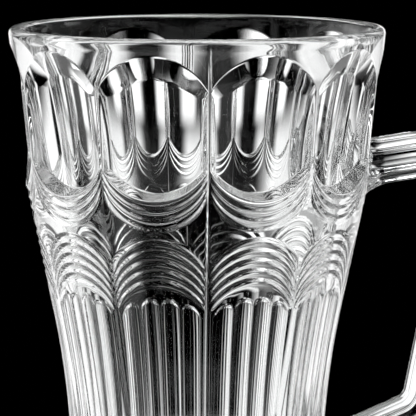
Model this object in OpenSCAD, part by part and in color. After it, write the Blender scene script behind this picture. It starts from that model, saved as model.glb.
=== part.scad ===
// Pressed glass tea mug in the cut glass style: a wide top with medallions, a band of swags and fans that draws
// in below it, a fluted waist and a loop handle that was stuck on hot.
// Millimetres, +Z up, origin at the centre of the underside. The handle reaches out along +X.

/* [Body outline] */
// Height from the underside to the top of the lip
height = 120; // [100:1:144]
// Outer diameter at the lip
rim_diameter = 84; // [70:0.2:101]
// Distance by which the wall draws in between the lip and the shoulder, on each side
shoulder_taper = 3.3; // [2.8:0.1:3.9]
// Distance from the top of the lip to the shoulder, where the band below starts to draw in more
shoulder_drop = 33; // [32:0.5:34]
// Outer diameter at the narrowest part of the waist
waist_diameter = 56.2; // [46:0.2:68]
// Height of the narrowest part of the waist above the underside
waist_height = 18; // [16:1:21]
// Distance from the middle of the flutes' length down to where the waist would bend without its curve
waist_bend = 2.5; // [-0.5:0.5:4.5]
// Radius of the rounded lip
lip_radius = 1.35; // [1.1:0.05:1.6]
// Bevel round the edge of the underside
foot_bevel = 1; // [0.5:0.1:1.5]

/* [Cavity] */
// Depth of the flared mouth, from the top of the lip
mouth_depth = 7; // [6:0.5:9]
// Wall thickness at the lower end of the flared mouth
shoulder_wall = 5.2; // [4.6:0.1:6]
// Wall thickness at the level of the floor
floor_wall = 8.5; // [7:0.5:10]
// Thickness of the glass under the floor
floor_thickness = 13; // [10:0.5:16]
// Radius of the rounded edge of the floor
floor_round = 6; // [4:0.5:8]

/* [Medallions] */
// Number of pattern panels round the mug, each with one medallion
panels = 10; // [9:1:12]
// Distance from the top of the lip to the top of a medallion
medallion_top = 3.5; // [3.2:0.05:4.2]
// Distance from the top of the lip to the bottom of a medallion
medallion_bottom = 35.5; // [30:0.1:38]
// Angle of a medallion's round end, from its tip to the ridge at its side
medallion_sweep = 61.9; // [56:0.1:66]
// Radius of the hollow face of a medallion, seen from above
medallion_hollow = 62; // [52:1:90]
// Height of a medallion's bevel for each millimetre of depth
medallion_bevel = 0.75; // [0.6:0.05:1]
// Width of the ridge left between two medallions
ridge_width = 0.8; // [0.6:0.05:1.2]

/* [Swags and fans] */
// Radius of the tool that cuts the swag and fan grooves
groove_radius = 1.3; // [1.2:0.05:1.5]
// Depth of a groove at the middle of its panel
groove_depth = 0.5; // [0.35:0.05:0.55]
// Depth of a groove at its two ends
groove_end_depth = 0.1; // [0.06:0.01:0.12]
// Distance from one groove to the next
groove_pitch = 2.25; // [2.2:0.05:2.4]
// Number of hanging swag grooves in a panel
swags = 3; // [2:1:4]
// Distance from the bottom of a medallion to the lowest point of the first swag's middle line
swag_gap = 1.2; // [1.2:0.05:1.6]
// Angle of a swag, from its lowest point to its end
swag_sweep = 55.5; // [50:0.5:57]
// Width of the ridge left between two swags of neighbouring panels
swag_ridge = 1; // [0.8:0.1:1.6]
// Number of arched fan grooves in a panel
fans = 5; // [4:1:6]
// Distance from the last swag's middle line to that of the first fan groove, at the middle of the panel
fan_gap = 3.4; // [3.2:0.1:4.5]
// Angle of a fan groove, from its highest point to its end
fan_sweep = 60; // [54:0.5:60]
// Width of the ridge left between two fans of neighbouring panels, at their tops
fan_ridge = 2.2; // [2:0.1:3]

/* [Flutes] */
// Number of flutes in a panel
flutes = 4; // [3:1:5]
// Radius of the hollow of a flute, seen from above
flute_radius = 3.6; // [3:0.1:4.5]
// Width of the sharp edge left between two flutes
flute_edge = 0.3; // [0.25:0.05:0.5]
// Width of the flat rib between the flutes of neighbouring panels, at the waist
rib_width = 2.2; // [1.6:0.1:3]
// Distance from the last fan groove's middle line to the tops of a panel's middle flutes
flute_gap = 3.4; // [3.4:0.1:6]
// Drop of the flute tops from one flute to the next towards the rib
flute_step = 1.8; // [1.7:0.1:2.2]
// Radius of the arch that closes a flute at its top
flute_arch = 2.7; // [2.5:0.1:3.2]

/* [Handle] */
// Thickness of the handle bar, in the plane of the loop
bar_thickness = 10; // [8:0.5:12]
// Width of the handle bar, across the loop
bar_width = 11; // [9:0.1:13.5]
// Width of the corner facets of the bar, measured along its faces
bar_facet = 3; // [2:0.25:3.5]
// Distance from the top of the lip to where the upper arm's middle line meets the wall
upper_root_drop = 30.6; // [28:0.1:34]
// Height above the underside at which the lower arm's middle line meets the wall
lower_root_height = 23; // [20:0.5:27]
// Distance from the top of the lip to the upper corner of the loop's middle line
upper_corner_drop = 26.9; // [24:0.1:29]
// Height above the underside of the lower corner of the loop's middle line
lower_corner_height = 33; // [30:0.5:37]
// Distance from the wall to the loop's middle line at the upper corner
upper_reach = 23.8; // [20:0.1:28]
// Distance from the wall to the loop's middle line at the lower corner
lower_reach = 22.4; // [20:0.1:26]
// Radius of the middle line round the upper corner
upper_bend = 10.5; // [8:0.5:11]
// Radius of the middle line round the lower corner
lower_bend = 8; // [7:0.5:9]
// Swelling of the bar, on each side, where it is stuck to the wall
root_swell = 2; // [1:0.1:2.5]
// Length over which the bar swells, measured from the wall
root_length = 3; // [2:0.5:4]

/* [Hidden] */
$fn = 96;
glass = [0.86, 0.91, 0.93];
handle_glass = [0.80, 0.86, 0.89];
// Extra length of a cutting tool beyond the glass
spare = 2;

rim_radius = rim_diameter / 2;
waist_radius = waist_diameter / 2;
lip_height = height - lip_radius;

// Heights of the medallions, the first swag, the first fan groove and the middle flutes, each under what is above it
medallion_high = height - medallion_top;
medallion_low = height - medallion_bottom;
swag_height = medallion_low - swag_gap;
fan_height = swag_height - (swags - 1) * groove_pitch - fan_gap;
flute_height = fan_height - (fans - 1) * groove_pitch - flute_gap;

// The wall is straight from the lip to the shoulder and from there down the band. The band bites slightly into the
// hollow arc of the waist, so that the two cross at a clear point, with a corner too slight to see.
bite = 0.05;
bend_height = (waist_height + flute_height) / 2 - waist_bend;
shoulder = [rim_radius - shoulder_taper, height - shoulder_drop];
shoulder_lean = atan(shoulder_taper / (lip_height - shoulder.y));
band_lean = atan((shoulder.x - waist_radius) / (shoulder.y - bend_height));
waist_arc = (bend_height - waist_height) / tan(band_lean / 2) + bite / (1 - cos(band_lean));
waist_centre = [waist_radius + waist_arc, waist_height];
bite_middle = waist_centre + (waist_arc - bite) * [-cos(band_lean), sin(band_lean)];
band_foot = bite_middle + sqrt(waist_arc ^ 2 - (waist_arc - bite) ^ 2) * [sin(band_lean), cos(band_lean)];

// Radius of the plain outer wall at height z
function wall(z) =
    z > shoulder.y
        ? shoulder.x + (z - shoulder.y) * tan(shoulder_lean)
        : z > band_foot.y
            ? band_foot.x + (z - band_foot.y) * tan(band_lean)
            : waist_centre.x - sqrt(waist_arc ^ 2 - (z - waist_centre.y) ^ 2);

// Depth of a hollow of the given radius that runs out of a wall of radius r at half width y
function hollow_depth(r, y, hollow) = r + hollow - sqrt(r ^ 2 - y ^ 2) - sqrt(hollow ^ 2 - y ^ 2);

panel_angle = 360 / panels;
half_panel = panel_angle / 2;

mouth_height = height - mouth_depth;
mouth_radius = wall(mouth_height) - shoulder_wall;
floor_radius = wall(floor_thickness) - floor_wall;
cavity_lean = atan((mouth_radius - floor_radius) / (mouth_height - floor_thickness));

medallion_middle = (medallion_high + medallion_low) / 2;
function medallion_side(z) = wall(z) * sin(half_panel) - ridge_width / 2;
function medallion_face(z) = wall(z) - hollow_depth(wall(z), medallion_side(z), medallion_hollow);
medallion_radius = medallion_side(medallion_middle) / sin(medallion_sweep);
medallion_shift = (medallion_high - medallion_low) / 2 - medallion_radius;
face_rise = medallion_face(medallion_high) - medallion_face(medallion_low);
face_lean = atan(face_rise / (medallion_high - medallion_low));
face_middle = (medallion_face(medallion_high) + medallion_face(medallion_low)) / 2;
face_depth = wall(medallion_middle) - face_middle;

// Angle by which a groove's plane leans in, so that its ends reach the end depth. side is 1 for a groove that
// curves up at its ends and -1 for one that curves down.
function groove_end_x(z, radius, sweep, side, lean) =
    sqrt(wall(z + side * radius * (1 - cos(sweep)) * cos(lean)) ^ 2 - (radius * sin(sweep)) ^ 2)
    + groove_radius - groove_end_depth;
function groove_x(z) = wall(z) + groove_radius - groove_depth;
function lean_once(z, radius, sweep, side, lean) =
    asin((groove_x(z) - groove_end_x(z, radius, sweep, side, lean)) / (radius * (1 - cos(sweep))));
function groove_lean(z, radius, sweep, side, tries = 4, lean = 0) =
    tries == 0
        ? lean
        : groove_lean(z, radius, sweep, side, tries - 1, lean_once(z, radius, sweep, side, lean));

rib_angle = 2 * asin(rib_width / 2 / waist_radius);
flute_angle = (panel_angle - rib_angle) / flutes;
function flute_half_width(z) = wall(z) * sin(flute_angle / 2) - flute_edge / 2;
function flute_floor(z) = wall(z) - hollow_depth(wall(z), flute_half_width(z), flute_radius);
flute_rise = flute_height - waist_height;
flute_sag = flute_floor(flute_height) - flute_floor(waist_height);
flute_path = (flute_rise ^ 2 + flute_sag ^ 2) / (2 * flute_sag);
flute_up = asin((flute_rise + spare) / flute_path);
flute_down = asin((waist_height + spare) / flute_path);

upper_root = [wall(height - upper_root_drop), height - upper_root_drop];
lower_root = [wall(lower_root_height), lower_root_height];
upper_corner = [wall(height - upper_corner_drop) + upper_reach, height - upper_corner_drop];
lower_corner = [wall(lower_corner_height) + lower_reach, lower_corner_height];
function heading(from, to) = atan2(to.y - from.y, to.x - from.x);
upper_heading = heading(upper_root, upper_corner);
grip_heading = heading(upper_corner, lower_corner);
lower_heading = heading(lower_corner, lower_root);
function ahead(angle) = [cos(angle), sin(angle)];
upper_trim = upper_bend * tan((upper_heading - grip_heading) / 2);
lower_trim = lower_bend * tan((grip_heading - lower_heading) / 2);
// How far the bar starts inside the plain wall, before the wall trims it
root_inset = 7;
// Number of straight steps that each bend of the bar is made of
bend_steps = 16;

// Half section of the mug without its cavity
module outline() {
    foot = wall(0) - foot_bevel;
    difference() {
        union() {
            polygon([
                [0, 0],
                [foot, 0],
                [foot + bite_middle.y, bite_middle.y],
                bite_middle,
                shoulder,
                [rim_radius, lip_height],
                [0, lip_height]
            ]);
            intersection() {
                translate([rim_radius - lip_radius, lip_height]) circle(lip_radius);
                translate([0, lip_height]) square([rim_radius + spare, lip_radius + spare]);
            }
        }
        translate(waist_centre) circle(waist_arc, $fn = 720);
    }
}

// Half section of the space for the tea
module cavity() {
    floor_turn = floor_round * (1 - tan(cavity_lean)) / cos(cavity_lean);
    difference() {
        polygon([
            [0, floor_thickness],
            [floor_radius, floor_thickness],
            [mouth_radius, mouth_height],
            [rim_radius - 2 * lip_radius, lip_height],
            [0, lip_height]
        ]);
        difference() {
            translate([floor_radius - floor_turn, floor_thickness - spare])
                square([floor_round + spare, floor_round * (1 - sin(cavity_lean)) + spare]);
            translate([floor_radius - floor_turn, floor_thickness + floor_round]) circle(floor_round);
        }
    }
}

// Tool for one medallion: a hollow face with a bevel all round
module medallion_tool() {
    inner = face_depth + spare;
    outer = face_depth;
    translate([face_middle, 0, medallion_middle])
        rotate([0, face_lean, 0])
            intersection() {
                translate([medallion_hollow, 0, 0])
                    cylinder(h = 2 * (medallion_high - medallion_low), r = medallion_hollow, center = true);
                union()
                    for (side = [-1, 1])
                        translate([face_depth - inner, 0, side * medallion_shift])
                            rotate([0, 90, 0])
                                cylinder(
                                    h = inner + outer,
                                    r1 = medallion_radius - inner * medallion_bevel,
                                    r2 = medallion_radius + outer * medallion_bevel
                                );
            }
}

// Tool for one groove: a piece of a ring that leans against the wall. side is 1 for a swag and -1 for a fan.
module groove_tool(z, half_width, sweep, side) {
    radius = half_width / sin(sweep);
    translate([groove_x(z), 0, z])
        rotate([0, -side * groove_lean(z, radius, sweep, side), 0])
            translate([0, 0, side * radius])
                rotate([0, 90, 0])
                    rotate([0, 0, (side > 0 ? 0 : 180) - sweep])
                        rotate_extrude(angle = 2 * sweep)
                            translate([radius, 0]) circle(groove_radius);
}

// Space that one flute may take: between two upright planes and under a round arch
module flute_window(top) {
    half = flute_angle / 2;
    apex = flute_edge / 4 / sin(half);
    far = rim_radius + spare;
    intersection() {
        translate([0, 0, -spare])
            linear_extrude(top + 2 * spare)
                polygon([[apex, 0], [far, (far - apex) * tan(half)], [far, (apex - far) * tan(half)]]);
        rotate([90, 0, 90])
            linear_extrude(far + spare)
                union() {
                    translate([0, top - flute_arch]) circle(flute_arch);
                    translate([-flute_arch - spare, -spare])
                        square([2 * (flute_arch + spare), top - flute_arch + spare]);
                }
    }
}

// Tool for one flute: a tube bent along the waist
module flute_tool(top) {
    intersection() {
        translate([flute_floor(waist_height) + flute_path, 0, waist_height])
            rotate([90, 0, 0])
                rotate([0, 0, 180 - flute_up])
                    rotate_extrude(angle = flute_up + flute_down)
                        translate([flute_path - flute_radius, 0]) circle(flute_radius);
        flute_window(top);
    }
}

// Revolves a half section, starting at the middle of a rib, where the wall is plain
module revolve() {
    rotate([0, 0, half_panel])
        rotate_extrude($fn = 180) children();
}

// Turns a piece from the panel that faces +X to another panel
module on_panel(panel) {
    rotate([0, 0, panel * panel_angle]) children();
}

// Medallions of the given panels
module medallion_tools(panel_list) {
    for (panel = panel_list)
        on_panel(panel) medallion_tool();
}

// Hanging swag grooves of the given panels
module swag_tools(panel_list) {
    for (panel = panel_list, i = [0 : swags - 1]) {
        z = swag_height - i * groove_pitch;
        on_panel(panel) groove_tool(z, wall(z) * sin(half_panel) - swag_ridge / 2, swag_sweep, 1);
    }
}

// Arched fan grooves of the given panels
module fan_tools(panel_list) {
    for (panel = panel_list, i = [0 : fans - 1]) {
        z = fan_height - i * groove_pitch;
        on_panel(panel) groove_tool(z, wall(z) * sin(half_panel) - fan_ridge / 2, fan_sweep, -1);
    }
}

// Flutes of the given panels, whose tops drop from the middle of the panel towards its ribs
module flute_tools(panel_list) {
    for (panel = panel_list, i = [0 : flutes - 1]) {
        place = i - (flutes - 1) / 2;
        on_panel(panel)
            rotate([0, 0, place * flute_angle])
                flute_tool(flute_height - flute_step * max(abs(place) - 0.5, 0));
    }
}

// Cup of the mug with its pressed relief
module mug_body() {
    all_panels = [0 : panels - 1];
    color(glass)
        difference() {
            revolve()
                difference() {
                    outline();
                    cavity();
                }
            medallion_tools(all_panels);
            swag_tools(all_panels);
            fan_tools(all_panels);
            flute_tools(all_panels);
        }
}

// Corners of the handle bar's section, with its corners cut to facets: in the loop's plane and across it
function bar(swell) =
    let (half_t = bar_thickness / 2 + swell, half_w = bar_width / 2 + swell)
    let (short_t = half_t - bar_facet, short_w = half_w - bar_facet)
    [
        [half_t, short_w], [short_t, half_w], [-short_t, half_w], [-half_t, short_w],
        [-half_t, -short_w], [-short_t, -half_w], [short_t, -half_w], [half_t, -short_w]
    ];

// Stations of a straight root, from inside the wall to where the bar has its plain section
function root_stations(root, out, heading) = [
    for (stage = [[-root_inset, 1], [-root_inset / 2, 1], [root_length, 0]])
        [root + stage[0] * ahead(out), heading, stage[1] * root_swell]
];

// Stations round a corner of the middle line, from one heading to the next
function bend_stations(corner, from, to, radius, trim) =
    let (centre = corner - trim * ahead(from) + radius * ahead(from - 90))
    [
        for (i = [0 : bend_steps])
            let (turn = from + (to - from) * i / bend_steps)
            [centre + radius * ahead(turn + 90), turn, 0]
    ];

stations = concat(
    root_stations(upper_root, upper_heading, upper_heading),
    bend_stations(upper_corner, upper_heading, grip_heading, upper_bend, upper_trim),
    bend_stations(lower_corner, grip_heading, lower_heading, lower_bend, lower_trim),
    [for (i = [2 : -1 : 0]) root_stations(lower_root, lower_heading + 180, lower_heading)[i]]
);

// Bar swept along the stations of the loop
module loop() {
    sides = len(bar(0));
    last = len(stations) - 1;
    polyhedron(
        points = [
            for (station = stations)
                for (corner = bar(station[2]))
                    let (place = station[0] + corner[0] * ahead(station[1] - 90))
                    [place.x, corner[1], place.y]
        ],
        faces = concat(
            [[for (j = [0 : sides - 1]) j]],
            [
                for (i = [0 : last - 1])
                    for (j = [0 : sides - 1])
                        let (k = (j + 1) % sides)
                        [i * sides + j, (i + 1) * sides + j, (i + 1) * sides + k, i * sides + k]
            ],
            [[for (j = [sides - 1 : -1 : 0]) last * sides + j]]
        )
    );
}

// Loop handle, stuck to the wall at its two roots and shaped there by the wall and its relief
module handle() {
    facing_panel = [0];
    color(handle_glass)
        difference() {
            loop();
            difference() {
                revolve() outline();
                medallion_tools(facing_panel);
                swag_tools(facing_panel);
                fan_tools(facing_panel);
                flute_tools(facing_panel);
            }
        }
}

mug_body();
handle();
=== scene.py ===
# Clear pressed glass tea mug: the cup with its cut style relief, the loop handle, and a dark
# studio with soft lamps.
# Lengths are in millimetres and angles in degrees, until a mesh or a lamp is made in metres.
import math

import bpy
import numpy as np
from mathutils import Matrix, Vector


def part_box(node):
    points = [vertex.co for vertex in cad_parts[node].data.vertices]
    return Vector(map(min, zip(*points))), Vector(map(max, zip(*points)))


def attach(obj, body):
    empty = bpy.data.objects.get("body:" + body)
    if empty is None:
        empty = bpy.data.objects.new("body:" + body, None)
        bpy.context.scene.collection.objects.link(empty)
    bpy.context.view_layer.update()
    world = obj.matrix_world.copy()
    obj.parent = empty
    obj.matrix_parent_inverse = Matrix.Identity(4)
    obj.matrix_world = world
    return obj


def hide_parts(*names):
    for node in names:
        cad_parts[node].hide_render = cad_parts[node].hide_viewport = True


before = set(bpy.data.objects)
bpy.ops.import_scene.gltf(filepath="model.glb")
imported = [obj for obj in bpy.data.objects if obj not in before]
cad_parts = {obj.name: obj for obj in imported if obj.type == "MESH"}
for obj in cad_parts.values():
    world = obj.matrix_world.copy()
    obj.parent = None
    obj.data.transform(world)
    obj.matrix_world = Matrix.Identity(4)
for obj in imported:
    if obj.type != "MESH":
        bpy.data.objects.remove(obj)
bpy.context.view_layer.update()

MM = 0.001

# Overall sizes, from the frame
body_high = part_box("mug_body")[1]
HEIGHT = body_high.z / MM
RIM_RADIUS = body_high.x / MM

# Body outline
SHOULDER_TAPER = 3.3
SHOULDER_DROP = 33.0
SHOULDER_ROUND = 4.0
WAIST_RADIUS = 28.1
WAIST_HEIGHT = 18.0
WAIST_BEND = 38.0
LIP_RADIUS = 1.35
LIP_STEPS = 11
FOOT_BEVEL = 1.0
FOOT_TURNS = (0, 30, 60)
UNDERSIDE_SHARES = (0.12, 0.35, 0.65, 0.9)

# Cavity
MOUTH_DEPTH = 7.0
MOUTH_CURVE = 3.0
MOUTH_STEPS = 8
SHOULDER_WALL = 5.2
FLOOR_WALL = 8.5
FLOOR_THICKNESS = 13.0
FLOOR_ROUND = 6.0
FLOOR_STEPS = 9
FLOOR_SHARES = (0.75, 0.45, 0.15)
INSIDE_STEPS = 12

# Medallions. The bevel's widths for each millimetre of depth are those at the bottom and the top.
PANELS = 10
MEDALLION_TOP = 3.5
MEDALLION_BOTTOM = 35.5
MEDALLION_SWEEP = 61.9
MEDALLION_HOLLOW = 62.0
MEDALLION_BEVELS = (0.42, 2.0)
BEVEL_BLEND = 16.0
LEAST_BEVEL = 0.24
MEDALLION_SINK = 1.2
MEDALLION_DEEPEST = 25.5
MEDALLION_DISH = 83.0
RIDGE_SIDE = 0.5
RIDGE_WIDTH = 0.8

# Swags and fans: the sharp lines between their grooves, from the first to the last
GROOVE_PITCH = 2.23
GROOVE_DEPTH = 0.28
GROOVE_LAND = 0.06
GROOVE_RUN_OUT = 1.2
SWAG_LINES = 4
SWAG_FIRST = 35.6
SWAG_RADII = (13.6, 12.2)
SWAG_RIDGE = 0.8
FAN_LINES = 6
FAN_FIRST = 43.5
FAN_RADII = (11.4, 10.9)
FAN_RIDGE = 1.0

# Flutes
FLUTES = 4
FLUTE_RADIUS = 10.0
FLUTE_EDGE = 0.3
RIB_WIDTH = 2.2
FLUTE_CUSP = 58.5
FLUTE_CUSP_DROP = 0.03
FLUTE_ARCH = 1.4
FLUTE_END = 0.9
FLUTE_STEPS = 15
ARCH_GAP = 0.5

# Mould seam, on the two panel edges farthest from the handle's plane
SEAM_HEIGHT = 0.12
SEAM_WIDTH = 0.45
SEAM_SHARPNESS = 1.5
SEAM_TOP = 3.0
SEAM_RUN_OUT = 3.0

# Handle
BAR_THICKNESS = 10.0
BAR_WIDTH = 11.0
BAR_FACET = 2.5
BAR_HOLLOW = 0.5
FACET_STEPS = 10
UPPER_ROOT_DROP = 30.6
LOWER_ROOT_HEIGHT = 23.0
UPPER_CORNER_DROP = 26.9
LOWER_CORNER_HEIGHT = 33.0
UPPER_REACH = 23.8
LOWER_REACH = 22.4
UPPER_BEND = 10.5
LOWER_BEND = 8.0
UPPER_BEND_STEPS = 17
LOWER_BEND_STEPS = 15
ROOT_SWELL = 2.0
ROOT_LENGTH = 3.0
ROOT_SINK = 0.25
ROOT_SEARCH = (-12.0, 6.0)

# Glass: the tint, then the scale and the height of the waves left by the mould
BODY_GLASS = ((0.985, 0.99, 0.99), 60, 0.004)
HANDLE_GLASS = ((0.98, 0.99, 0.99), 130, 0.03)
GLASS_INDEX = 1.52
WAVE_DETAIL = 2
FILM_SCALE = 180
FILM_DETAIL = 4
FILM_RANGE = (0.45, 0.8)
FILM_ROUGHNESS = 0.02
SHADOW_TINT = (0.86, 0.87, 0.87)
MOST_BOUNCES = 32
GLOSSY_BOUNCES = 16

# Table top, a hair below the foot
TABLE_RADIUS = 85
TABLE_TOP = -0.2
TABLE_THICKNESS = 12
TABLE_SIDES = 96
TABLE_COLOUR = (0.75, 0.75, 0.74)
TABLE_ROUGHNESS = 0.6

# Lamps: name, azimuth, elevation, width and height in degrees, brightness and softness.
# Azimuth 0 is straight behind the mug and plus is to the right. A brightness of 1 is white.
PAIRED_LAMPS = (
    ("panel", 41, -29, 76, 57, 1.12, 0.4),
    ("softbox", 85, 10, 18, 44, 2.8, 0.5),
    ("wing", 18, 3, 24, 17, 1.35, 0.6),
    ("front_panel", 122, -22, 26, 50, 0.5, 0.6),
)
SINGLE_LAMPS = (
    ("front_low", 180, -10, 110, 22, 0.42, 0.6),
    ("softbox_top", 180, 80, 130, 50, 5.5, 0.6),
)
LAMP_DISTANCE = 500
LAMP_AIM_HEIGHT = 80

# Camera, as the photograph was taken
CAMERA_DISTANCE = 1100.0
CAMERA_HEIGHT = 197.0
CAMERA_AZIMUTH = -3.8
CAMERA_AIM_HEIGHT = 79.3
CAMERA_AIM_RIGHT = 2.46
CAMERA_FIELD = 93.0
CAMERA_CLIP = 10.0
SENSOR = 36.0


def sine(angle):
    return np.sin(np.radians(angle))


def cosine(angle):
    return np.cos(np.radians(angle))


def tangent(angle):
    return np.tan(np.radians(angle))


# Outline of the plain cup, which the relief is pressed into
LIP_HEIGHT = HEIGHT - LIP_RADIUS
shoulder = np.array([RIM_RADIUS - SHOULDER_TAPER, HEIGHT - SHOULDER_DROP])
shoulder_slope = SHOULDER_TAPER / (LIP_HEIGHT - shoulder[1])
band_slope = (shoulder[0] - WAIST_RADIUS) / (shoulder[1] - WAIST_BEND)
band_lean = math.degrees(math.atan(band_slope))
waist_arc = (WAIST_BEND - WAIST_HEIGHT) / tangent(band_lean / 2)
waist_centre = np.array([WAIST_RADIUS + waist_arc, WAIST_HEIGHT])
band_foot = WAIST_HEIGHT + waist_arc * sine(band_lean)


def wall(z):
    """Radius of the plain outer wall at height z, with the corner at the shoulder rounded off."""
    above = z - shoulder[1]
    upper = shoulder[0] + above * shoulder_slope
    band = shoulder[0] + above * band_slope
    waist = waist_centre[0] - np.sqrt(waist_arc**2 - (z - waist_centre[1]) ** 2)
    near = np.clip(1 - np.abs(above) / SHOULDER_ROUND, 0, 1)
    cut = (band_slope - shoulder_slope) * SHOULDER_ROUND * near**2 / 4
    return np.where(z > band_foot, np.minimum(upper, band) - cut, waist)


def hollow_depth(radius, half_width, hollow):
    """Depth of a hollow that runs out of a wall of that radius at the given half width."""
    wall_drop = radius - np.sqrt(radius**2 - half_width**2)
    return wall_drop + hollow - np.sqrt(hollow**2 - half_width**2)


PANEL_ANGLE = 360 / PANELS
HALF_PANEL = PANEL_ANGLE / 2
RIB_ANGLE = 2 * math.degrees(math.asin(RIB_WIDTH / 2 / WAIST_RADIUS))
FLUTE_ANGLE = (PANEL_ANGLE - RIB_ANGLE) / FLUTES
EDGE_ANGLE = math.degrees(FLUTE_EDGE / 2 / WAIST_RADIUS)

# Columns of the grid across one panel: the same shares of each flute, and the rib at each side
FLUTE_SHARES = (-1, -0.9, -0.62, -0.31, 0, 0.31, 0.62, 0.9, 1)
RIB_COLUMNS = (15.95, 16.5, 17.0, 17.42, 17.75)
flute_half = FLUTE_ANGLE / 2 - EDGE_ANGLE
flute_columns = [
    ((k - (FLUTES - 1) / 2) * FLUTE_ANGLE + share * flute_half, share)
    for k in range(FLUTES)
    for share in FLUTE_SHARES
]
rib_left = [(-angle, 1) for angle in (HALF_PANEL,) + RIB_COLUMNS[::-1]]
rib_right = [(angle, 1) for angle in RIB_COLUMNS]
columns = np.array(rib_left + flute_columns + rib_right)
column_angle, column_share = columns[:, 0], columns[:, 1]

# Rows of the grid between two lines, as shares of the way from one to the other
BAND_SHARES = (0.3, 0.6, 0.85, 0.96)
BEVEL_SHARES = (0, 0.1, 0.5, 0.9)
FACE_SHARES = (
    0, 0.012, 0.05, 0.11, 0.18, 0.26, 0.34, 0.42, 0.5,
    0.58, 0.66, 0.74, 0.82, 0.89, 0.95, 0.988, 1,
)
GROOVE_SHARES = np.array([0, 0.13, 0.31, 0.5, 0.69, 0.87, 1])
FAN_GAP_SHARES = (0.12, 0.35, 0.65, 0.88)
FLUTE_GAP_SHARES = (0.35, 0.75)
FLUTE_END_SHARES = (0, 0.08, 0.25, 0.5, 0.75, 1)

# Rounds of the searches below, and the least square that an arc's root is taken of
ARC_ROUNDS = 8
ARC_LEAST = 0.01
FACE_ROUNDS = 12
BEVEL_ROUNDS = 40
ROOT_ROUNDS = 30


def across(depth):
    """Distance of the columns from the middle of the panel, at the given depths below the lip."""
    return wall(HEIGHT - depth) * sine(column_angle)


def level_line(depth):
    return np.full(len(column_angle), float(depth))


def arc_line(level, radius, side):
    """Depth below the lip of an arc. Its ends hang down where side is 1, and curve up at -1."""
    depth = level_line(level)
    for _ in range(ARC_ROUNDS):
        drop = radius - np.sqrt(np.maximum(radius**2 - across(depth) ** 2, ARC_LEAST))
        depth = level + side * drop
    return depth


def between(first, last, shares):
    """Rows of the grid that lie between two lines at the given shares."""
    return [first + share * (last - first) for share in shares]


# Medallion: a hollow face with a bevel all round, whose outline is two discs that overlap
medallion_high = HEIGHT - MEDALLION_TOP
medallion_low = HEIGHT - MEDALLION_BOTTOM
medallion_middle = (medallion_high + medallion_low) / 2
bevel_ends = medallion_middle + BEVEL_BLEND * np.array([-0.5, 0.5])


def medallion_side(z):
    return wall(z) * sine(HALF_PANEL) - RIDGE_WIDTH / 2


def medallion_face(z):
    return wall(z) - hollow_depth(wall(z), medallion_side(z), MEDALLION_HOLLOW)


medallion_radius = medallion_side(medallion_middle) / sine(MEDALLION_SWEEP)
medallion_shift = (medallion_high - medallion_low) / 2 - medallion_radius
face_high, face_low = medallion_face(medallion_high), medallion_face(medallion_low)
face_slope = (face_high - face_low) / (medallion_high - medallion_low)
face_middle = (face_high + face_low) / 2


def face_depth(depth):
    """Depth of the face below the plain wall. It is dished, so that it comes up towards its top."""
    z = HEIGHT - depth
    radius = wall(z)
    face = face_middle + (z - medallion_middle) * face_slope
    for _ in range(FACE_ROUNDS):
        y = radius * sine(column_angle)
        reach = face + MEDALLION_HOLLOW - np.sqrt(MEDALLION_HOLLOW**2 - y**2)
        radius = reach / cosine(column_angle)
    dish = (depth - MEDALLION_DEEPEST) ** 2 / (2 * MEDALLION_DISH)
    dished = wall(z) - radius + MEDALLION_SINK - dish
    ridge_side = (medallion_side(z) - np.abs(across(depth))) / RIDGE_SIDE
    return np.maximum(np.minimum(dished, ridge_side), 0)


def bevel_depth(depth):
    """Depth of the bevel below the plain wall: it falls away inwards from the outline."""
    z = HEIGHT - depth
    y = across(depth)
    middle = np.clip(z, medallion_middle - medallion_shift, medallion_middle + medallion_shift)
    inside = medallion_radius - np.hypot(y, np.abs(z - medallion_middle) + medallion_shift)
    upright = medallion_radius - np.hypot(y, z - middle)
    bevel = np.interp(z, bevel_ends, MEDALLION_BEVELS)
    return np.maximum(np.minimum(inside + 2 * medallion_shift, upright), 0) / bevel


def medallion_depth(depth):
    return np.minimum(face_depth(depth), bevel_depth(depth))


def bevel_foot(outline, inner):
    """Where the bevel meets the face, between the outline and a line inside the medallion."""
    outer = outline.copy()
    for _ in range(BEVEL_ROUNDS):
        middle = (outer + inner) / 2
        on_bevel = bevel_depth(middle) < face_depth(middle)
        outer = np.where(on_bevel, middle, outer)
        inner = np.where(on_bevel, inner, middle)
    return inner


# Rows of the outer wall, as pairs of depth below the lip and depth of the relief
rows = []


def add_rows(lines, relief):
    for line, depth in zip(lines, relief):
        rows.append((np.asarray(line, float), np.asarray(depth, float)))


def add_plain_rows(lines):
    add_rows(lines, [level_line(0)] * len(lines))


top_line = arc_line(MEDALLION_TOP, medallion_radius, 1)
bottom_line = arc_line(MEDALLION_BOTTOM, medallion_radius, -1)
middle_line = (top_line + bottom_line) / 2
top_foot = np.maximum(bevel_foot(top_line, middle_line), top_line + LEAST_BEVEL)
bottom_foot = np.minimum(bevel_foot(bottom_line, middle_line), bottom_line - LEAST_BEVEL)

add_plain_rows(between(level_line(LIP_RADIUS), top_line, BAND_SHARES))
lines = between(top_line, top_foot, BEVEL_SHARES)
lines += between(top_foot, bottom_foot, FACE_SHARES)
lines += between(bottom_line, bottom_foot, BEVEL_SHARES)[::-1]
add_rows(lines, [medallion_depth(line) for line in lines])


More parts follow.
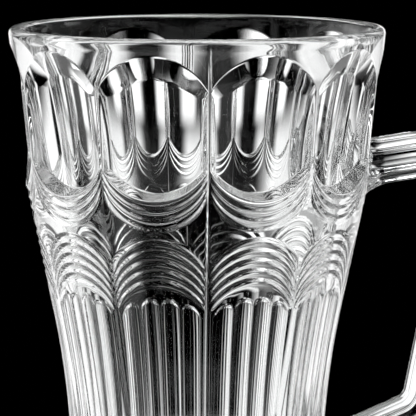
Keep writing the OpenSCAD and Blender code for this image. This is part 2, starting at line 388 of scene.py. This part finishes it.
def add_grooves(first, radii, count, side, ridge):
    """Adds the grooves between a set of arcs, and gives the last arc.

    The grooves are shallower where the arcs draw together, and run out at the ridge between panels.
    """
    levels = first + GROOVE_PITCH * np.arange(count)
    arc_radii = np.linspace(*radii, count)
    arcs = [arc_line(level, radius, side) for level, radius in zip(levels, arc_radii)]
    profile = 1 - (2 * GROOVE_SHARES - 1) ** 2
    for upper, lower, radius in zip(arcs, arcs[1:], arc_radii):
        middle = (upper + lower) / 2
        y = np.abs(across(middle))
        steep = np.sqrt(np.maximum(1 - (y / radius) ** 2, 0))
        width = (lower - upper) * steep
        edge = wall(HEIGHT - middle) * sine(HALF_PANEL) - ridge / 2
        end = np.clip((edge - y) / GROOVE_RUN_OUT, 0, 1)
        depth = GROOVE_DEPTH * np.minimum(width / GROOVE_PITCH, 1) * end * (2 - end)
        lines = between(upper, lower, GROOVE_LAND + (1 - 2 * GROOVE_LAND) * GROOVE_SHARES)
        add_rows(lines, [depth * share for share in profile])
    return arcs[-1]


swag_end = add_grooves(SWAG_FIRST, SWAG_RADII, SWAG_LINES, -1, SWAG_RIDGE)
fan_start = arc_line(FAN_FIRST, FAN_RADII[0], 1)
add_plain_rows(between(swag_end, fan_start, FAN_GAP_SHARES))
fan_end = add_grooves(FAN_FIRST, FAN_RADII, FAN_LINES, 1, FAN_RIDGE)


def flute_depth(depth, start):
    """Depth of the flutes below the plain wall: round hollows that come up at an arch."""
    radius = wall(HEIGHT - depth)
    half_width = radius * sine(FLUTE_ANGLE / 2) - FLUTE_EDGE / 2
    rise = 1 - np.clip((depth - start) / FLUTE_END, 0, 1)
    deepest = hollow_depth(radius, half_width, FLUTE_RADIUS)
    return deepest * (1 - column_share**2) * (1 - rise**2)


cusp_line = FLUTE_CUSP + FLUTE_CUSP_DROP * across(level_line(FLUTE_CUSP)) ** 2
arch_line = np.maximum(cusp_line - FLUTE_ARCH * (1 - column_share**2), fan_end + ARCH_GAP)
add_plain_rows(between(fan_end, arch_line, FLUTE_GAP_SHARES))
lines = [arch_line + FLUTE_END * share for share in FLUTE_END_SHARES]
foot_line = level_line(HEIGHT - FOOT_BEVEL)
lines += between(lines[-1], foot_line, np.linspace(0, 1, FLUTE_STEPS)[1:])
add_rows(lines, [flute_depth(line, arch_line) for line in lines])

row_depth = np.array([row[0] for row in rows])
row_relief = np.array([row[1] for row in rows])


def relief_at(angle, z):
    """Depth of the relief at points of the panel that faces the handle, read off the grid."""
    depth = HEIGHT - z
    right = np.clip(np.searchsorted(column_angle, angle), 1, len(column_angle) - 1)
    left_angle = column_angle[right - 1]
    share = (angle - left_angle) / (column_angle[right] - left_angle)
    found = np.empty((2, len(angle)))
    for side, column in enumerate((right - 1, right)):
        for i, c in enumerate(column):
            found[side, i] = np.interp(depth[i], row_depth[:, c], row_relief[:, c])
    return found[0] * (1 - share) + found[1] * share


def mesh_object(name, points, faces):
    mesh = bpy.data.meshes.new(name)
    mesh.from_pydata((np.asarray(points) * MM).tolist(), [], faces)
    mesh.update()
    mesh.shade_smooth()
    piece = bpy.data.objects.new(name, mesh)
    bpy.context.scene.collection.objects.link(piece)
    return piece


def grid_faces(rings, around):
    """Faces between rings of points, each ring closed on itself."""
    faces = []
    for i in range(rings - 1):
        for j in range(around):
            k = (j + 1) % around
            a = i * around
            faces.append((a + j, a + k, a + around + k, a + around + j))
    return faces


def cap_faces(ring_start, around, centre, outward):
    """Triangles from a ring of points to one point."""
    faces = []
    for j in range(around):
        k = (j + 1) % around
        pair = (ring_start + j, ring_start + k)
        faces.append((pair if outward else pair[::-1]) + (centre,))
    return faces


def closed_piece(name, rings, ends):
    """Mesh through rings of points, closed at the first and the last ring by a point each."""
    around = len(rings[0])
    points = np.concatenate(rings + [ends])
    faces = grid_faces(len(rings), around)
    faces += cap_faces(0, around, len(points) - 2, False)
    faces += cap_faces((len(rings) - 1) * around, around, len(points) - 1, True)
    return mesh_object(name, points, faces)


def make_body():
    panel_start = np.arange(PANELS) * PANEL_ANGLE
    angle = (panel_start[:, None] + column_angle[None, :]).ravel()
    rings = []

    def ring(radius, z):
        radius = np.broadcast_to(radius, len(angle))
        z = np.broadcast_to(z, len(angle))
        rings.append(np.column_stack([radius * cosine(angle), radius * sine(angle), z]))

    # Underside and foot, from the axis out
    foot = wall(FOOT_BEVEL) - np.tile(row_relief[-1], PANELS)
    for share in UNDERSIDE_SHARES:
        ring(share * (foot - FOOT_BEVEL), 0)
    for turn in FOOT_TURNS:
        ring(foot - FOOT_BEVEL * (1 - sine(turn)), FOOT_BEVEL * (1 - cosine(turn)))

    # Outer wall, upwards, with the seam at a quarter turn from the handle on either side
    from_seam = np.abs((angle + 180) % 180 - 90)
    for depth, relief in zip(row_depth[::-1], row_relief[::-1]):
        depth = np.tile(depth, PANELS)
        radius = wall(HEIGHT - depth)
        from_edge = from_seam * radius * math.pi / 180
        seam = np.clip(1 - from_edge / SEAM_WIDTH, 0, 1)
        seam = seam * np.clip((depth - SEAM_TOP) / SEAM_RUN_OUT, 0, 1)
        pressed = radius - np.tile(relief, PANELS)
        ring(pressed + SEAM_HEIGHT * seam**SEAM_SHARPNESS, HEIGHT - depth)

    # Rounded lip
    for turn in np.linspace(0, 180, LIP_STEPS):
        ring(RIM_RADIUS - LIP_RADIUS * (1 - cosine(turn)), LIP_HEIGHT + LIP_RADIUS * sine(turn))

    # Flared mouth, then the tapered inside and its rounded floor
    mouth_height = HEIGHT - MOUTH_DEPTH
    mouth_radius = float(wall(mouth_height)) - SHOULDER_WALL
    floor_radius = float(wall(FLOOR_THICKNESS)) - FLOOR_WALL
    taper = (mouth_radius - floor_radius) / (mouth_height - FLOOR_THICKNESS)
    lean = math.degrees(math.atan(taper))
    corner = np.array([mouth_radius, mouth_height])
    start = np.array([RIM_RADIUS - 2 * LIP_RADIUS, LIP_HEIGHT])
    end = corner - MOUTH_CURVE * np.array([taper, 1])
    for share in np.linspace(0, 1, MOUTH_STEPS)[1:]:
        ring(*(start * (1 - share) ** 2 + corner * 2 * share * (1 - share) + end * share**2))
    turn_centre = floor_radius - FLOOR_ROUND * (1 - tangent(lean)) / cosine(lean)
    round_top = FLOOR_THICKNESS + FLOOR_ROUND * (1 - sine(lean))
    for z in np.linspace(end[1], round_top, INSIDE_STEPS)[1:-1]:
        ring(floor_radius + (z - FLOOR_THICKNESS) * taper, z)
    for turn in np.linspace(-lean, -90, FLOOR_STEPS):
        rise = FLOOR_ROUND * (1 + sine(turn))
        ring(turn_centre + FLOOR_ROUND * cosine(turn), FLOOR_THICKNESS + rise)
    for share in FLOOR_SHARES:
        ring(share * turn_centre, FLOOR_THICKNESS)
    return closed_piece("mug_body_glass", rings, [[0, 0, 0], [0, 0, FLOOR_THICKNESS]])


def ahead(angle):
    return np.array([cosine(angle), sine(angle)])


def heading(first, last):
    return math.degrees(math.atan2(last[1] - first[1], last[0] - first[0]))


def bar_section():
    """Points of the bar's section, in the loop's plane and across it: a hollow sided octagon."""
    high, wide = BAR_THICKNESS / 2, BAR_WIDTH / 2
    quarter = [(high, wide - BAR_FACET), (high - BAR_FACET, wide)]
    half = quarter + [(-x, y) for x, y in quarter[::-1]]
    corners = np.array(half + [(-x, -y) for x, y in half])
    points = []
    for first, last in zip(corners, np.roll(corners, -1, axis=0)):
        along = last - first
        inward = np.array([-along[1], along[0]])
        for share in np.arange(FACET_STEPS) / FACET_STEPS:
            dip = BAR_HOLLOW * share * (1 - share)
            points.append(first + share * along + dip * inward)
    return np.array(points)


# Rings of a root of the handle: across its end, and from its end to the plain bar
ROOT_END_SHARES = (0.15, 0.35, 0.55, 0.75, 0.9, 0.97)
ROOT_SIDE_SHARES = (0, 0.06, 0.18, 0.34, 0.55, 0.78, 1)


def make_handle():
    section = bar_section()
    outward = section / np.hypot(*section.T)[:, None]
    swollen = section + ROOT_SWELL * outward

    def in_plane(centre, angle, ring, slide):
        """Where a ring's points lie in the loop's plane, each slid along the bar's middle line."""
        middle = np.asarray(centre) + ring[:, :1] * ahead(angle - 90)
        return middle + np.multiply.outer(slide, ahead(angle))

    def place(centre, angle, ring, slide=0.0):
        """Points of a ring round a point of the bar's middle line."""
        point = in_plane(centre, angle, ring, slide)
        return np.column_stack([point[:, 0], ring[:, 1], point[:, 1]])

    def to_wall(centre, angle, ring, sign):
        """How far each point of a ring slides along the line to be just inside the pressed wall."""
        inner = np.full(len(ring), ROOT_SEARCH[0])
        outer = np.full(len(ring), ROOT_SEARCH[1])
        for _ in range(ROOT_ROUNDS):
            middle = (inner + outer) / 2
            point = in_plane(centre, angle, ring, sign * middle)
            turn = np.degrees(np.arctan2(ring[:, 1], point[:, 0]))
            surface = wall(point[:, 1]) - relief_at(turn, point[:, 1]) - ROOT_SINK
            within = np.hypot(point[:, 0], ring[:, 1]) < surface
            inner = np.where(within, middle, inner)
            outer = np.where(within, outer, middle)
        return sign * inner

    def root_rings(root, angle, sign):
        """Rings of a root, from the middle of its end to where the bar has its plain section."""
        rings = []
        for share in ROOT_END_SHARES:
            ring = share * swollen
            rings.append(place(root, angle, ring, to_wall(root, angle, ring, sign)))
        end = to_wall(root, angle, swollen, sign)
        for share in ROOT_SIDE_SHARES:
            slide = end * (1 - share) + sign * ROOT_LENGTH * share
            ring = section + ROOT_SWELL * (1 - share) ** 2 * outward
            rings.append(place(root, angle, ring, slide))
        return rings

    def bend_rings(corner, first, last, radius, steps):
        trim = radius * tangent((first - last) / 2)
        centre = corner - trim * ahead(first) + radius * ahead(first - 90)
        turns = np.linspace(first, last, steps)
        return [place(centre + radius * ahead(turn + 90), turn, section) for turn in turns]

    def beside_wall(z, reach=0.0):
        return np.array([float(wall(z)) + reach, z])

    upper_root = beside_wall(HEIGHT - UPPER_ROOT_DROP)
    lower_root = beside_wall(LOWER_ROOT_HEIGHT)
    upper_corner = beside_wall(HEIGHT - UPPER_CORNER_DROP, UPPER_REACH)
    lower_corner = beside_wall(LOWER_CORNER_HEIGHT, LOWER_REACH)
    upper_arm = heading(upper_root, upper_corner)
    grip = heading(upper_corner, lower_corner)
    lower_arm = heading(lower_corner, lower_root)

    rings = root_rings(upper_root, upper_arm, 1)
    rings += bend_rings(upper_corner, upper_arm, grip, UPPER_BEND, UPPER_BEND_STEPS)
    rings += bend_rings(lower_corner, grip, lower_arm, LOWER_BEND, LOWER_BEND_STEPS)
    rings += root_rings(lower_root, lower_arm, -1)[::-1]
    ends = [rings[0].mean(axis=0), rings[-1].mean(axis=0)]
    return closed_piece("handle_glass", rings, ends)


def add_noise(nodes, links, place, scale, detail):
    noise = nodes.new("ShaderNodeTexNoise")
    noise.inputs["Scale"].default_value = scale
    noise.inputs["Detail"].default_value = detail
    links.new(place.outputs["Object"], noise.inputs["Vector"])
    return noise.outputs["Fac"]


def glass_material(name, tint, wave_scale, wave_height):
    """Clear glass with faint waves and uneven polish, and a shadow that lets most light through."""
    material = bpy.data.materials.new(name)
    material.use_nodes = True
    nodes = material.node_tree.nodes
    links = material.node_tree.links
    nodes.clear()
    output = nodes.new("ShaderNodeOutputMaterial")
    glass = nodes.new("ShaderNodeBsdfPrincipled")
    glass.inputs["Base Color"].default_value = (*tint, 1)
    glass.inputs["Transmission Weight"].default_value = 1
    glass.inputs["IOR"].default_value = GLASS_INDEX
    place = nodes.new("ShaderNodeTexCoord")

    bump = nodes.new("ShaderNodeBump")
    bump.inputs["Strength"].default_value = 1
    bump.inputs["Distance"].default_value = wave_height * MM
    waves = add_noise(nodes, links, place, wave_scale, WAVE_DETAIL)
    links.new(waves, bump.inputs["Height"])
    links.new(bump.outputs["Normal"], glass.inputs["Normal"])

    polish = nodes.new("ShaderNodeMapRange")
    polish.inputs["From Min"].default_value = FILM_RANGE[0]
    polish.inputs["From Max"].default_value = FILM_RANGE[1]
    polish.inputs["To Min"].default_value = 0
    polish.inputs["To Max"].default_value = FILM_ROUGHNESS
    film = add_noise(nodes, links, place, FILM_SCALE, FILM_DETAIL)
    links.new(film, polish.inputs["Value"])
    links.new(polish.outputs["Result"], glass.inputs["Roughness"])

    rays = nodes.new("ShaderNodeLightPath")
    clear = nodes.new("ShaderNodeBsdfTransparent")
    clear.inputs["Color"].default_value = (*SHADOW_TINT, 1)
    mix = nodes.new("ShaderNodeMixShader")
    links.new(rays.outputs["Is Shadow Ray"], mix.inputs["Fac"])
    links.new(glass.outputs["BSDF"], mix.inputs[1])
    links.new(clear.outputs["BSDF"], mix.inputs[2])
    links.new(mix.outputs["Shader"], output.inputs["Surface"])
    return material


def make_floor():
    """Plain pale table top, a round slab that ends outside the picture."""
    turn = np.linspace(0, 360, TABLE_SIDES, endpoint=False)
    rim = TABLE_RADIUS * np.column_stack([cosine(turn), sine(turn)])
    levels = (TABLE_TOP, TABLE_TOP - TABLE_THICKNESS)
    points = [(x, y, z) for z in levels for x, y in rim]
    faces = [tuple(range(TABLE_SIDES)), tuple(range(TABLE_SIDES, 2 * TABLE_SIDES))[::-1]]
    faces += [face[::-1] for face in grid_faces(2, TABLE_SIDES)]
    floor = mesh_object("table", points, faces)
    floor.data.shade_flat()
    material = bpy.data.materials.new("pale_table")
    material.use_nodes = True
    shader = material.node_tree.nodes["Principled BSDF"]
    shader.inputs["Base Color"].default_value = (*TABLE_COLOUR, 1)
    shader.inputs["Roughness"].default_value = TABLE_ROUGHNESS
    floor.data.materials.append(material)


def soften_edges(lamp, softness):
    """Lets a lamp fall off to black towards its edges, over that share of its half width."""
    lamp.use_nodes = True
    nodes = lamp.node_tree.nodes
    links = lamp.node_tree.links

    def math_node(operation, *values):
        node = nodes.new("ShaderNodeMath")
        node.operation = operation
        for socket, value in zip(node.inputs, values):
            if isinstance(value, float):
                socket.default_value = value
            else:
                links.new(value, socket)
        return node.outputs["Value"]

    place = nodes.new("ShaderNodeNewGeometry")
    split = nodes.new("ShaderNodeSeparateXYZ")
    links.new(place.outputs["Parametric"], split.inputs["Vector"])
    falls = []
    for axis in ("X", "Y"):
        from_middle = math_node("ABSOLUTE", math_node("SUBTRACT", split.outputs[axis], 0.5))
        fall = nodes.new("ShaderNodeMapRange")
        fall.interpolation_type = "SMOOTHSTEP"
        fall.inputs["From Min"].default_value = 0.5
        fall.inputs["From Max"].default_value = 0.5 - softness / 2
        links.new(from_middle, fall.inputs["Value"])
        falls.append(fall.outputs["Result"])
    links.new(math_node("MULTIPLY", *falls), nodes["Emission"].inputs["Strength"])


def add_softbox(name, azimuth, elevation, wide, high, brightness, softness):
    """Large soft lamp that faces the mug, and that the camera itself doesn't see."""
    middle = Vector((0, 0, LAMP_AIM_HEIGHT))
    flat = LAMP_DISTANCE * cosine(elevation)
    offset = (flat * sine(azimuth), flat * cosine(azimuth), LAMP_DISTANCE * sine(elevation))
    place = middle + Vector(offset)
    lamp = bpy.data.lights.new(name, "AREA")
    lamp.shape = "RECTANGLE"
    lamp.size = 2 * LAMP_DISTANCE * tangent(wide / 2) * cosine(elevation) * MM
    lamp.size_y = 2 * LAMP_DISTANCE * tangent(high / 2) * MM
    lamp.energy = brightness * math.pi * lamp.size * lamp.size_y
    soften_edges(lamp, softness)
    holder = bpy.data.objects.new(name, lamp)
    holder.location = place * MM
    holder.rotation_euler = (middle - place).to_track_quat("-Z", "Y").to_euler()
    holder.visible_camera = False
    bpy.context.scene.collection.objects.link(holder)


def make_lamps():
    for side, side_name in ((-1, "left"), (1, "right")):
        for name, azimuth, *rest in PAIRED_LAMPS:
            add_softbox("%s_%s" % (name, side_name), side * azimuth, *rest)
    for lamp in SINGLE_LAMPS:
        add_softbox(*lamp)


def make_camera():
    forward = np.array([-sine(CAMERA_AZIMUTH), cosine(CAMERA_AZIMUTH)])
    right = np.array([forward[1], -forward[0]])
    place = Vector((*(-CAMERA_DISTANCE * forward), CAMERA_HEIGHT)) * MM
    aim = Vector((*(CAMERA_AIM_RIGHT * right), CAMERA_AIM_HEIGHT)) * MM
    data = bpy.data.cameras.new("camera")
    data.sensor_width = SENSOR
    data.lens = SENSOR * (aim - place).length / (CAMERA_FIELD * MM)
    data.clip_start = CAMERA_CLIP * MM
    camera = bpy.data.objects.new("camera", data)
    camera.location = place
    camera.rotation_euler = (aim - place).to_track_quat("-Z", "Y").to_euler()
    bpy.context.scene.collection.objects.link(camera)
    bpy.context.scene.camera = camera


def make_world():
    world = bpy.data.worlds.new("dark_room")
    world.use_nodes = True
    background = world.node_tree.nodes["Background"]
    background.inputs["Color"].default_value = (0, 0, 0, 1)
    bpy.context.scene.world = world


def finish_piece(piece, node, material):
    piece.data.materials.append(material)
    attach(piece, "root")
    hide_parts(node)


make_camera()
make_world()
make_floor()
make_lamps()
body_material = glass_material("body_glass", *BODY_GLASS)
handle_material = glass_material("handle_glass", *HANDLE_GLASS)
finish_piece(make_body(), "mug_body", body_material)
finish_piece(make_handle(), "handle", handle_material)

# Light passes many walls of glass on its way to the camera
scene = bpy.context.scene
scene.view_settings.view_transform = "Standard"
scene.cycles.max_bounces = MOST_BOUNCES
scene.cycles.transmission_bounces = MOST_BOUNCES
scene.cycles.glossy_bounces = GLOSSY_BOUNCES
scene.cycles.transparent_max_bounces = MOST_BOUNCES
